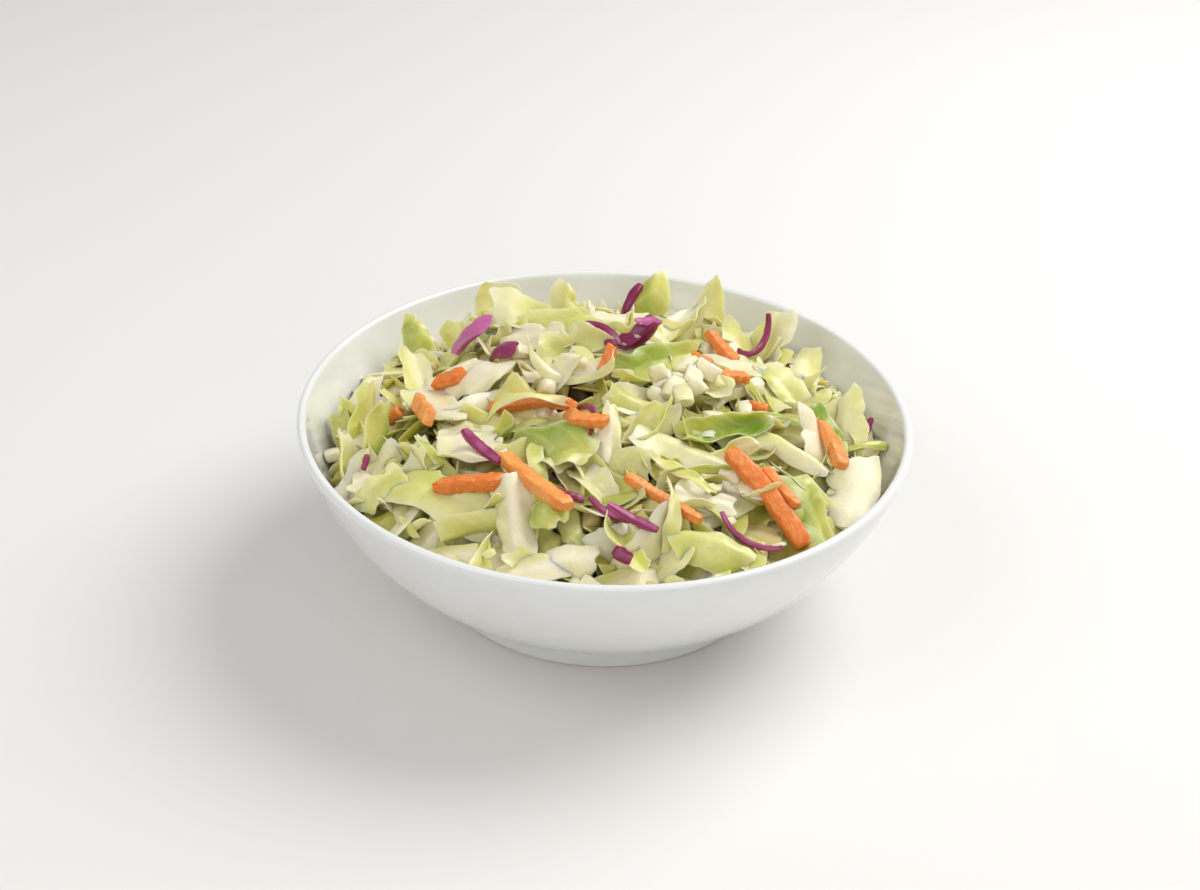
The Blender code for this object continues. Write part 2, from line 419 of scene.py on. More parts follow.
def stick(
    chance, size, paint, grid, square, blunt, bow=0, sweep=0, twist=0, slant=0, rough=0.0001, uneven=0.10,
):
    """A bar of this length, width and height with rounded edges, bowed up, swept aside and cut at a slant.

    paint takes the place along it, from -1 to 1, and the angle round it, and gives each point's colour.
    """
    rings, sides = grid
    span, width, height = size
    s = np.linspace(-1, 1, rings)[:, None]
    turn = np.linspace(0, 2 * math.pi, sides, endpoint=False)[None, :]
    shrink = (1 - np.abs(s) ** blunt * 0.3) * (1 + uneven * wave(chance, (s, 0 * s), 1.1))
    across = np.sign(np.cos(turn)) * np.abs(np.cos(turn)) ** (2 / square)
    up = np.sign(np.sin(turn)) * np.abs(np.sin(turn)) ** (2 / square)
    y = width / 2 * across * shrink
    z = height / 2 * up * shrink
    x = span / 2 * s + slant * y + 0 * y
    y = y + rough * wave(chance, (x, z + y), 0.0022)
    z = z + rough * wave(chance, (x, y - z), 0.0019)
    x = x + rough * wave(chance, (y * 1.3, z), 0.002)
    lean = twist * s / 2
    y, z = y * np.cos(lean) - z * np.sin(lean), y * np.sin(lean) + z * np.cos(lean)
    x, y, z = bent(x, y, z, bow, span)
    x, z, y = bent(x, z, y, sweep, span)
    points = np.stack([x, y, z], axis=-1)
    ends = np.stack([points[0].mean(axis=0), points[-1].mean(axis=0)])
    centre = points.mean(axis=(0, 1))
    tint = paint(s + 0 * turn, turn + 0 * s)
    end_tint = np.stack([tint[0].mean(axis=0), tint[-1].mean(axis=0)])
    grain = np.stack([span / 2 * s + 0 * turn, width / 2 * across + 0 * s, height / 2 * up + 0 * s], axis=-1)
    grain = grain + chance.uniform(0, 9)
    end_grain = np.stack([grain[0].mean(axis=0), grain[-1].mean(axis=0)])
    return Shape(
        np.concatenate([points.reshape(-1, 3), ends]) - centre,
        stick_faces(rings, sides),
        np.concatenate([tint.reshape(-1, 3), end_tint]),
        np.concatenate([grain.reshape(-1, 3), end_grain]),
        midpoints(points) - centre,
    )


# Kinds of shred


def mix(first, second, mask):
    mask = np.asarray(mask)[..., None]
    return np.array(first) * (1 - mask) + np.array(second) * mask


def leaf_colours(chance, colours, greenness):
    """Inner and outer colour of a leaf piece; greenness 0 is the cabbage's heart, 1 its outermost leaf."""
    scale = [np.array(colours.rib), np.array(colours.pale), np.array(colours.yellow)]
    scale += [np.array(colours.green), np.array(colours.bright)]
    place = np.clip(greenness + chance.uniform(-0.12, 0.12), 0, 1) * (len(scale) - 1)
    outer = min(len(scale) - 1.001, place + 0.6)
    inner = max(0, place - 0.7)
    pick = lambda p: scale[int(p)] * (1 - p % 1) + scale[min(int(p) + 1, len(scale) - 1)] * (p % 1)
    return pick(inner), pick(outer)


# Limits of each kind of leaf piece, drawn in this order: a pair is a range, a list a choice, a number fixed
LEAF_KINDS = {
    # a chopped piece of leaf, cupped or folded
    "flake": dict(
        span=(0.012, 0.023), width=(0.006, 0.013), bow=(-1.2, 1.4), cup=(-1.8, 2.2), twist=(-0.9, 0.9),
        point=[0, 0, 0.3, 0.6], skew=(-0.6, 0.6), ruffle=(0, 0.0012), fold=[0, 0, -0.5, 0.5],
        thickness=(0.0004, 0.0008), grid=[(14, 9)],
    ),
    # a long thin shred of leaf, curled along its length
    "ribbon": dict(
        span=(0.016, 0.034), width=(0.0020, 0.0045), bow=(-2.2, 2.8), cup=(-0.9, 0.9), twist=(-1.4, 1.4),
        point=[0, 0.5], skew=(-0.8, 0.8), ruffle=0.0003, thickness=(0.0005, 0.0010), grid=[(26, 5)],
    ),
    # a piece of a leaf's thick white rib with some leaf on its sides
    "rib": dict(
        span=(0.009, 0.018), width=(0.005, 0.009), bow=(-0.4, 0.8), cup=(-0.5, 0.9), twist=(-0.3, 0.3),
        point=[0, 0.3], skew=(-0.5, 0.5), thickness=0.0012, rib=(0.0008, 0.0018), grid=[(16, 12)],
    ),
    # a tiny scrap of leaf or stalk
    "crumb": dict(
        span=(0.003, 0.006), width=(0.0015, 0.003), bow=(-0.9, 0.9), cup=(-0.9, 0.9), skew=(-0.6, 0.6),
        thickness=(0.0006, 0.0012), grid=[(6, 4)],
    ),
}


def drawn(chance, limit):
    """A value drawn from a range or a choice; a choice of one isn't drawn."""
    if isinstance(limit, tuple):
        return chance.uniform(*limit)
    if isinstance(limit, list):
        return limit[0] if len(limit) == 1 else chance.choice(limit)
    return limit


def cut_leaf(chance, colours, kind, low, high):
    """A leaf piece of a kind, with a greenness between these."""
    inner, outer = leaf_colours(chance, colours, chance.uniform(low, high))
    form = {key: drawn(chance, limit) for key, limit in LEAF_KINDS[kind].items()}
    size = (form.pop("span"), form.pop("width"))
    return leaf(chance, size, colours.rib if kind == "rib" else inner, outer, **form)


def die(chance, colours):
    """A small chunk of stalk."""
    size = (chance.uniform(0.0038, 0.0070), chance.uniform(0.0034, 0.0052), chance.uniform(0.0024, 0.0042))
    tone = np.array(leaf_colours(chance, colours, chance.uniform(0, 0.35))[0]) * chance.uniform(0.95, 1.04)
    paint = lambda s, turn: np.broadcast_to(tone, s.shape + (3,)).copy()
    return stick(
        chance, size, paint, grid=(8, 12), square=6.0, blunt=14, bow=chance.uniform(-0.3, 0.3),
        twist=chance.uniform(-0.3, 0.3), slant=chance.uniform(-0.5, 0.5), rough=0.00012,
    )


def carrot(chance, colours, size, pale=0.5, bow=0.0, sweep=0.0):
    """A carrot stick, orange where it is smooth and pale where the cut is rough."""

    def paint(s, turn):
        face = np.abs(np.cos(2 * turn)) ** 0.7
        mask = pale * (0.3 + 0.7 * face) + 0.35 * pale * wave(chance, (s * 2, np.cos(turn)), 1.1)
        return mix(colours.carrot, colours.carrot_pale, np.clip(mask, 0, 1))

    return stick(
        chance, size, paint, grid=(36, 20), square=5.5, blunt=22, bow=bow, sweep=sweep,
        twist=chance.uniform(-0.3, 0.3), slant=chance.uniform(-0.9, 0.9), rough=0.00014, uneven=0.06,
    )


def carrot_bit(chance, colours):
    size = (chance.uniform(0.005, 0.012), chance.uniform(0.0026, 0.0040), chance.uniform(0.0018, 0.0030))
    return carrot(chance, colours, size, pale=chance.uniform(0.2, 0.9), bow=chance.uniform(-0.2, 0.3))


def red_shred(chance, colours, size=None, flesh=0.8, bow=0.0, sweep=0.0, twist=0.0):
    """A thin shred of red cabbage: purple skins, with the pink cut face between them."""
    if size is None:
        size = (chance.uniform(0.008, 0.018), chance.uniform(0.0012, 0.0022), chance.uniform(0.0008, 0.0013))
        bow, sweep = chance.uniform(-0.8, 1.2), chance.uniform(-0.9, 0.9)

    def paint(s, turn):
        face = np.clip(1.5 * np.abs(np.cos(2 * turn)) - 0.5, 0, 1)
        mask = 0.75 * flesh * face * (0.7 + 0.5 * wave(chance, (s, 0 * s), 0.9))
        return mix(colours.skin, colours.flesh, np.clip(mask, 0, 1))

    return stick(
        chance, size, paint, grid=(26, 14), square=2.8, blunt=4, bow=bow, sweep=sweep, twist=twist,
        rough=0.00008,
    )


# Meshes and materials


CREASE = math.radians(52)  # edges sharper than this aren't shaded smooth
VEIN = linear(242, 236, 192)


def link_object(name, mesh, material, slot):
    mesh.materials.append(material)
    mesh.shade_smooth()
    mesh.set_sharp_from_angle(angle=CREASE)
    thing = bpy.data.objects.new(name, mesh)
    bpy.context.scene.collection.objects.link(thing)
    if slot is None:
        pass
    else:
        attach(thing, BODY)
    return thing


def joined(name, shapes, material):
    """One piece from all the shreds of a kind."""
    faces, start = [], 0
    for shape in shapes:
        faces += [tuple(int(corner) + start for corner in face) for face in shape.faces]
        start += len(shape.points)
    mesh = bpy.data.meshes.new(name)
    mesh.from_pydata(np.concatenate([shape.points for shape in shapes]), [], faces)
    tint = np.concatenate([shape.tint for shape in shapes])
    tint = np.concatenate([tint, np.ones((len(tint), 1))], axis=1)
    mesh.color_attributes.new("tint", "FLOAT_COLOR", "POINT").data.foreach_set("color", tint.ravel())
    grain = np.concatenate([shape.grain for shape in shapes])
    mesh.attributes.new("grain", "FLOAT_VECTOR", "POINT").data.foreach_set("vector", grain.ravel())
    return link_object(name, mesh, material, "slaw")


class Graph:
    """A node tree with short ways to add a node and to feed its inputs."""

    def __init__(self, tree):
        self.tree = tree

    def add(self, kind, values=(), **settings):
        """Adds a node with these settings, its inputs fed from (name or number, value or socket) pairs."""
        node = self.tree.nodes.new(kind)
        for key, value in settings.items():
            setattr(node, key, value)
        self.feed(node, values)
        return node

    def feed(self, node, values):
        for key, value in values:
            if isinstance(value, bpy.types.NodeSocket):
                self.tree.links.new(value, node.inputs[key])
            else:
                node.inputs[key].default_value = value

    def group(self, tree, **values):
        """Places a node group; its inputs are named as keywords, with _ for a space."""
        pairs = [(key.replace("_", " "), value) for key, value in values.items()]
        return self.add("ShaderNodeGroup", pairs, node_tree=tree).outputs

    def shaded(self, tint, grain):
        """Multiplies a colour by the shade that the flesh grain gives."""
        pairs = [(key, grain["Shade"]) for key in ("Red", "Green", "Blue")]
        grey = self.add("ShaderNodeCombineColor", pairs)
        return self.blend(1.0, tint, grey.outputs["Color"], "MULTIPLY")

    def bump(self, height, strength, distance):
        pairs = [("Height", height), ("Strength", strength), ("Distance", distance)]
        return self.add("ShaderNodeBump", pairs).outputs["Normal"]

    def math(self, operation, first, second=0.5, clamp=False):
        node = self.add("ShaderNodeMath", [(0, first), (1, second)], operation=operation, use_clamp=clamp)
        return node.outputs[0]

    def remap(self, value, low, high, to_low=0.0, to_high=1.0):
        pairs = [("Value", value), ("From Min", low), ("From Max", high)]
        pairs += [("To Min", to_low), ("To Max", to_high)]
        return self.add("ShaderNodeMapRange", pairs).outputs["Result"]

    def add_up(self, first, first_share, second, second_share):
        """The weighted sum of two values."""
        parts = [self.math("MULTIPLY", first, first_share), self.math("MULTIPLY", second, second_share)]
        return self.math("ADD", *parts)

    def noise(self, vector, scale, detail=3.0, rough=0.5):
        pairs = [("Vector", vector), ("Scale", scale), ("Detail", detail), ("Roughness", rough)]
        return self.add("ShaderNodeTexNoise", pairs).outputs["Fac"]

    def blend(self, factor, first, second, blend_type="MIX"):
        node = self.add("ShaderNodeMix", data_type="RGBA", blend_type=blend_type)
        self.feed(node, ((0, factor), (6, first), (7, second)))
        return node.outputs[2]


def node_group(name, inputs, outputs, fill):
    """A shader node group with these inputs and outputs, filled by a function that returns the outputs."""
    if name in bpy.data.node_groups:
        return bpy.data.node_groups[name]
    tree = bpy.data.node_groups.new(name, "ShaderNodeTree")
    for label, kind, default in inputs:
        socket = tree.interface.new_socket(label, in_out="INPUT", socket_type="NodeSocket" + kind)
        if default is not None:
            socket.default_value = default
    for label, kind in outputs:
        tree.interface.new_socket(label, in_out="OUTPUT", socket_type="NodeSocket" + kind)
    graph = Graph(tree)
    entry = graph.add("NodeGroupInput")
    results = fill(graph, entry.outputs)
    graph.add("NodeGroupOutput", [(label, results[label]) for label, _ in outputs])
    return tree


def flesh_grain():
    """Fine unevenness of cut vegetable: a shade to multiply the colour by, and a height for its bump."""

    def fill(graph, given):
        scale = graph.math("DIVIDE", 1.0, given["Size"])
        coarse = graph.noise(given["Vector"], scale, 3.0, 0.55)
        fine = graph.noise(given["Vector"], graph.math("MULTIPLY", scale, 4.3), 2.0, 0.6)
        height = graph.add_up(coarse, 0.7, fine, 0.3)
        low = graph.math("SUBTRACT", 1.0, given["Contrast"])
        return {"Shade": graph.remap(height, 0.3, 0.7, low, 1.04), "Height": height}

    inputs = [("Vector", "Vector", None), ("Size", "Float", 0.003), ("Contrast", "Float", 0.1)]
    return node_group("flesh grain", inputs, [("Shade", "Float"), ("Height", "Float")], fill)


def leaf_veins():
    """Veins of a leaf: side veins that leave the middle at a slant, and the fine net between them."""

    def fill(graph, given):
        warp = graph.noise(given["Vector"], 160.0, 2.0, 0.5)
        parts = graph.add("ShaderNodeSeparateXYZ", [("Vector", given["Vector"])]).outputs
        aside = graph.math("MULTIPLY", graph.math("ABSOLUTE", parts["Y"]), 0.9)
        slant = graph.math("ADD", parts["X"], aside)
        slant = graph.math("ADD", slant, graph.math("MULTIPLY", warp, 0.006))
        place = graph.math("FRACT", graph.math("DIVIDE", slant, given["Spacing"]))
        side = graph.remap(graph.math("ABSOLUTE", graph.math("SUBTRACT", place, 0.5)), 0.05, 0.16, 1.0, 0.0)
        pairs = [("Vector", given["Vector"]), ("Scale", graph.math("DIVIDE", 2.6, given["Spacing"]))]
        net = graph.add("ShaderNodeTexVoronoi", pairs, feature="DISTANCE_TO_EDGE").outputs["Distance"]
        net = graph.remap(net, 0.0, 0.10, 0.5, 0.0)
        mask = graph.math("MAXIMUM", side, net, clamp=True)
        return {"Mask": graph.math("MULTIPLY", mask, given["Strength"]), "Height": mask}

    inputs = [("Vector", "Vector", None), ("Spacing", "Float", 0.005), ("Strength", "Float", 0.4)]
    return node_group("leaf veins", inputs, [("Mask", "Float"), ("Height", "Float")], fill)


def cut_flecks():
    """Pale flecks of a rough cut face, drawn out along the shred."""

    def fill(graph, given):
        stretch = graph.add("ShaderNodeCombineXYZ", [("X", given["Along"]), ("Y", 1.0), ("Z", 1.0)])
        pairs = [(0, given["Vector"]), (1, stretch.outputs[0])]
        place = graph.add("ShaderNodeVectorMath", pairs, operation="MULTIPLY").outputs[0]
        spots = graph.noise(place, graph.math("DIVIDE", 1.0, given["Size"]), 3.0, 0.7)
        mask = graph.remap(spots, 0.50, 0.66)
        return {"Mask": graph.math("MULTIPLY", mask, given["Strength"]), "Height": spots}

    inputs = [("Vector", "Vector", None), ("Size", "Float", 0.001), ("Along", "Float", 1.0)]
    inputs += [("Strength", "Float", 0.5)]
    return node_group("cut flecks", inputs, [("Mask", "Float"), ("Height", "Float")], fill)


def dressing_film():
    """Thin dressing on the shreds: wet patches that are smoother and carry a clear film."""

    def fill(graph, given):
        patch = graph.noise(given["Vector"], graph.math("DIVIDE", 1.0, given["Size"]), 2.0, 0.5)
        wet = graph.remap(patch, 0.42, 0.60)
        dry_share = graph.math("MULTIPLY", graph.math("SUBTRACT", 1.0, wet), given["Dry roughness"])
        wet_share = graph.math("MULTIPLY", wet, given["Wet roughness"])
        film = graph.math("MULTIPLY", wet, given["Film"])
        return {"Roughness": graph.math("ADD", dry_share, wet_share), "Film": film}

    inputs = [("Vector", "Vector", None), ("Size", "Float", 0.006), ("Dry roughness", "Float", 0.55)]
    inputs += [("Wet roughness", "Float", 0.28), ("Film", "Float", 0.4)]
    return node_group("dressing film", inputs, [("Roughness", "Float"), ("Film", "Float")], fill)


def new_material(name, **values):
    """A material, its graph and its Principled shader, with constants set on the shader's own sockets."""
    material = bpy.data.materials.new(name)
    material.use_nodes = True
    graph = Graph(material.node_tree)
    shader = material.node_tree.nodes["Principled BSDF"]
    for key, value in values.items():
        shader.inputs[key.replace("_", " ").title().replace("Ior", "IOR")].default_value = value
    return material, graph, shader


def vegetable(
    name, veins=None, flecks=None, contrast=0.12, size=0.0028, bump=0.25, film=0.25, dry=0.5, glow=0.65
):
    """Cut vegetable: each point's tint, shaded by its grain, with veins or flecks, and dressing."""
    material, graph, shader = new_material(
        name, subsurface_weight=glow, subsurface_scale=0.0022, subsurface_radius=(1.0, 0.9, 0.35),
        coat_roughness=0.2,
    )
    tint = graph.add("ShaderNodeAttribute", attribute_name="tint").outputs["Color"]
    place = graph.add("ShaderNodeAttribute", attribute_name="grain").outputs["Vector"]
    whole = graph.add("ShaderNodeTexCoord").outputs["Object"]
    grain = graph.group(flesh_grain(), Vector=place, Size=size, Contrast=contrast)
    height = grain["Height"]
    if veins:
        lines = graph.group(leaf_veins(), Vector=place, Spacing=veins[0], Strength=veins[1])
        tint = graph.blend(lines["Mask"], tint, (*VEIN, 1))
        height = graph.add_up(height, 0.7, lines["Height"], 0.3)
    if flecks:
        spots = graph.group(cut_flecks(), Vector=place, Size=flecks[0], Along=flecks[1], Strength=flecks[2])
        tint = graph.blend(spots["Mask"], tint, (*flecks[3], 1))
        height = graph.add_up(height, 0.5, spots["Height"], 0.5)
    tint = graph.shaded(tint, grain)
    wet = graph.group(dressing_film(), Vector=whole, Dry_roughness=dry, Film=film)
    normal = graph.bump(height, bump, 0.0006)
    pairs = [("Base Color", tint), ("Roughness", wet["Roughness"]), ("Coat Weight", wet["Film"])]
    graph.feed(shader, [*pairs, ("Normal", normal)])
    return material


def glaze_material(colours):
    """Glazed porcelain: a clear even glaze with a faint ripple, bare and matte under the foot ring."""
    material, graph, shader = new_material("porcelain glaze", coat_weight=0.5, coat_roughness=0.04)
    place = graph.add("ShaderNodeTexCoord").outputs["Object"]
    parts = graph.add("ShaderNodeSeparateXYZ", [("Vector", place)]).outputs
    bare = graph.remap(parts["Z"], 0.0003, 0.0007, 1.0, 0.0)
    grain = graph.group(flesh_grain(), Vector=place, Size=0.012, Contrast=0.015)
    body = graph.blend(bare, (*colours.glaze, 1), (*colours.foot, 1))
    body = graph.shaded(body, grain)
    smooth = graph.remap(grain["Height"], 0.3, 0.7, 0.10, 0.18)
    rough = graph.math("MAXIMUM", smooth, graph.math("MULTIPLY", bare, 0.7))
    ripple = graph.noise(place, 90.0, 1.0, 0.4)
    normal = graph.bump(ripple, 0.06, 0.001)
    graph.feed(shader, [("Base Color", body), ("Roughness", rough), ("Normal", normal)])
    return material


def core_material(colours):
    """The slaw seen deep between the shreds: dim yellow-green, darker in its hollows."""
    material, graph, shader = new_material("slaw depth", roughness=0.6)
    place = graph.add("ShaderNodeTexCoord").outputs["Object"]
    # painted shade: the strong grain darkens the core where its bump is low
    grain = graph.group(flesh_grain(), Vector=place, Size=0.004, Contrast=0.5)
    tint = graph.shaded((*colours.shade, 1), grain)
    graph.feed(shader, [("Base Color", tint), ("Normal", graph.bump(grain["Height"], 0.8, 0.002))])
    return material


def turned(name, profile, segments, material, slot):
    """A piece turned about Z from (radius, height) points that start and end on the axis."""
    turns = np.linspace(0, 2 * math.pi, segments, endpoint=False)
    ring = np.array(profile[1:-1])
    x = ring[:, 0, None] * np.cos(turns)
    y = ring[:, 0, None] * np.sin(turns)
    z = np.broadcast_to(ring[:, 1, None], x.shape)
    points = np.stack([x, y, z], axis=-1).reshape(-1, 3)
    ends = [(0, 0, profile[0][1]), (0, 0, profile[-1][1])]
    mesh = bpy.data.meshes.new(name)
    faces = [face[::-1] for face in stick_faces(len(ring), segments)]
    mesh.from_pydata(np.concatenate([points, ends]), [], faces)
    return link_object(name, mesh, material, slot)


# Shreds with a place of their own: in millimetres from the bowl's axis, turns in degrees, bends in radians

MM = 0.001
STANDING = 30  # degrees; a shred pitched up by more than this stands upright, whatever the slope under it

# kind, x, y, heading, pitch, roll, length, width, greenness, bow, cup, twist, point, rib
PLACED_LEAVES = (
    # big pieces of the front and the left
    ("pale_leaves", -39, -42, -34, 6, 12, 30, 12, 0.56, -1.3, -1.3, 0.7, 0.2, 0),
    ("ribs", -20, -51, -86, -8, 0, 21, 9, 0.20, 0.3, -0.9, 0.1, 0.1, 2.6),
    ("ribs", -33, -25, -80, 10, -8, 21, 16, 0.15, 0.3, 0.3, 0.1, 0.0, 2.4),
    ("pale_leaves", -42, -8, -58, 8, -10, 22, 13, 0.22, 0.4, 0.5, 0.2, 0.7, 0.6),
    ("ribs", -7, -60, 5, 4, 12, 13, 8, 0.20, -0.4, -1.4, 0.0, 0.0, 1.6),
    ("pale_leaves", 25, -57, -12, 0, 12, 20, 11, 0.56, -0.5, -0.7, 0.8, 0.3, 0),
    ("pale_leaves", 6, -59, -60, 8, -20, 18, 10, 0.45, 0.9, 1.0, 0.5, 0.3, 0),
    ("pale_leaves", -3, -67, -30, 20, 0, 9, 7, 0.25, 0.3, 0.4, 0.2, 0.8, 0),
    ("pale_leaves", -53, -37, 20, 10, 30, 14, 8, 0.35, -0.8, -1.2, 0.2, 0.3, 0),
    ("green_leaves", -27, -60, 70, 15, 35, 13, 7, 0.55, 0.5, 1.3, 0.4, 0.8, 0),
    # the greenest pieces
    ("green_leaves", -12, -31, -10, 12, 25, 20, 12, 0.80, -1.5, -0.8, -0.4, 0.2, 0),
    ("green_leaves", -12, -52, 35, 20, -20, 13, 11, 0.86, -2.0, -0.5, 0.5, 0.4, 0),
    ("green_leaves", 13, 9, 30, 8, 30, 24, 10, 0.76, -0.5, -0.8, 0.3, 0.5, 0),
    ("green_leaves", 49, -38, -62, 5, 15, 21, 10, 0.80, -0.4, -0.5, 0.3, 0.5, 0),
    ("green_leaves", 56, 0, -60, 5, 30, 14, 5, 0.84, 0.4, 0.9, 0.4, 0.2, 0),
    ("green_leaves", -15, 30, 8, 5, 35, 26, 10, 0.66, -0.6, -0.6, 0.5, 0.3, 0),
    # pieces that stand up along the back and the left
    ("pale_leaves", -30, 45, 96, 42, 0, 18, 16, 0.34, 0.6, 0.9, 0.2, 0.1, 0),
    ("pale_leaves", -13, 51, 80, 58, 10, 18, 10, 0.28, -0.5, 0.9, 0.3, 0.6, 0),
    ("green_leaves", 12, 47, 84, 60, -15, 21, 12, 0.80, -0.5, 1.4, 0.4, 0.7, 0),
    ("pale_leaves", 27, 46, 80, 62, 15, 20, 10, 0.26, 0.2, 1.1, 0.2, 0.7, 0),
    ("green_leaves", -51, 33, 100, 60, 10, 15, 9, 0.62, -0.3, 0.6, 0.2, 0.4, 0),
    ("pale_leaves", 44, 36, 70, 42, -20, 20, 12, 0.40, -0.6, -0.8, 0.4, 0.3, 0),
    ("pale_leaves", -61, -4, 80, 50, 50, 18, 9, 0.42, 0.4, 0.7, 0.3, 0.6, 0),
    ("pale_leaves", -63, -20, 100, 45, 55, 17, 8, 0.30, -0.3, 0.9, 0.3, 0.5, 0),
    ("green_leaves", -56, -14, 85, 50, 60, 17, 7, 0.60, 0.3, 0.5, 0.6, 0.4, 0),
    # pieces of the back, lying back against the heap
    ("pale_leaves", -24, 36, 95, 26, 5, 20, 15, 0.32, 0.7, 0.9, 0.2, 0.2, 0),
    ("pale_leaves", -40, 24, 75, 24, -15, 19, 13, 0.30, 0.8, -0.9, 0.3, 0.3, 0),
    ("pale_leaves", -49, 10, 110, 28, 15, 19, 12, 0.38, 0.7, 1.0, 0.3, 0.3, 0),
    ("pale_leaves", 20, 38, 70, 24, -5, 20, 13, 0.30, 0.6, 1.2, 0.3, 0.2, 0),
    ("ribs", 2, 38, 20, 10, 25, 18, 8, 0.20, 0.4, 0.5, 0.2, 0.2, 1.2),
    ("pale_leaves", 36, 29, 110, 22, 5, 18, 12, 0.36, 0.9, -1.1, 0.3, 0.2, 0),
    ("pale_leaves", 52, 20, 80, 32, 14, 15, 8, 0.30, 0.4, -1.2, 0.7, 0.4, 0),
    ("ribs", -20, 22, -15, 14, 20, 19, 9, 0.18, 0.5, 0.7, 0.2, 0.2, 1.2),
    ("pale_leaves", -10, 16, 20, 16, 25, 18, 9, 0.44, 0.9, 1.2, 0.4, 0.3, 0),
    ("pale_leaves", 24, 0, -35, 14, 15, 17, 11, 0.34, 0.7, 1.1, 0.3, 0.3, 0),
    # middle and right
    ("pale_leaves", 10, -21, 60, 25, -10, 17, 14, 0.36, 0.8, 2.3, 0.3, 0.2, 0),
    ("ribs", 1, -27, 88, 42, 12, 15, 7, 0.22, 0.1, 0.3, 0.2, 0.6, 1.2),
    ("pale_leaves", 60, -28, 84, 20, -14, 21, 13, 0.16, 0.4, -0.4, 0.7, 0.1, 0.5),
    ("pale_leaves", 43, -20, -28, 4, 10, 26, 8, 0.30, -0.5, -0.9, 0.3, 0.3, 0),
    ("pale_leaves", 17, -27, -20, 6, -12, 22, 9, 0.28, 0.3, 0.6, 0.4, 0.4, 0),
    ("ribs", 24, -41, -12, 4, 5, 15, 7, 0.15, 0.3, 0.4, 0.3, 0.2, 0.9),
    ("ribs", 52, -12, 110, 30, 30, 15, 12, 0.12, 0.2, -0.5, 0.2, 0.1, 1.4),
    ("pale_leaves", -33, 1, -8, 15, 10, 19, 12, 0.15, -0.6, -0.8, 0.2, 0.2, 1.0),
    ("pale_leaves", 33, 18, -20, 10, 5, 17, 10, 0.22, -0.4, -0.6, 0.3, 0.2, 0.8),
    ("pale_leaves", 45, 13, -50, 10, 10, 16, 9, 0.36, -0.6, -0.8, 0.7, 0.4, 0),
    ("pale_leaves", 62, 2, 95, 50, -30, 16, 10, 0.30, 0.3, 0.9, 0.4, 0.5, 0),
    ("ribbons", -9, 3, -8, 18, -38, 34, 3.6, 0.26, 3.1, 0.5, 0.2, 0.2, 0),
    ("ribbons", -22, -16, -25, 10, 20, 30, 3.0, 0.50, -2.4, 0.3, 0.6, 0.3, 0),
    ("ribbons", 16, -52, 82, 50, 20, 20, 4.0, 0.48, -1.4, 0.8, 0.9, 0.9, 0),
    ("ribbons", 18, -36, -38, 5, 0, 20, 3.4, 0.56, -0.4, 0.5, 0.4, 0.3, 0),
    ("ribbons", 40, -8, 20, 8, 0, 22, 3.0, 0.70, -0.8, 0.6, 0.7, 0.3, 0),
    ("green_leaves", 29, -18, 20, 8, 26, 25, 11, 1.00, 0.6, 1.5, 0.6, 0.4, 0),
)

# x, y, heading, pitch, length, width, height, paleness, bow, sweep
PLACED_CARROTS = (
    (-18, -12, -42, 0, 22, 3.9, 3.0, 0.45, -0.35, 0.10),
    (-16, -45, -50, 2, 25, 4.0, 3.2, 0.95, 0.10, 0.10),
    (-31, -43, -8, 0, 16, 3.9, 3.3, 0.25, -0.20, 0.15),
    (14, -46, -30, 0, 21, 2.7, 2.3, 0.75, 0.15, -0.10),
    (39, -39, -53, 0, 29, 4.4, 3.9, 0.30, -0.10, -0.25),
    (42, -37, -50, 4, 13, 2.5, 2.1, 0.60, 0.10, 0.10),
    (56, -15, -74, 6, 18, 3.7, 3.0, 0.70, -0.25, -0.10),
    (30, 24, -56, -12, 13, 3.4, 2.6, 0.45, 0.10, 0.10),
    (24, 12, -70, 5, 8, 3.5, 2.8, 0.35, 0.05, 0.00),
    (32, 4, 28, 5, 9, 3.0, 2.3, 0.45, 0.10, 0.00),
    (-40, 2, -14, 5, 8, 3.7, 3.0, 0.30, 0.05, 0.05),
    (-45, -11, -62, 12, 9, 4.2, 3.3, 0.95, 0.05, 0.05),
    (-53, -6, -30, 5, 6, 3.5, 2.6, 0.35, 0.05, 0.05),
    (0, 5, 66, 40, 8, 3.0, 2.1, 0.35, 0.05, 0.05),
    (-8, -21, -70, 10, 9, 3.5, 2.6, 0.70, 0.05, 0.05),
    (-4, -27, -10, 5, 9, 3.4, 2.6, 0.60, 0.05, 0.05),
    (38, -6, -35, 5, 5, 2.5, 2.1, 0.35, 0.05, 0.05),
)

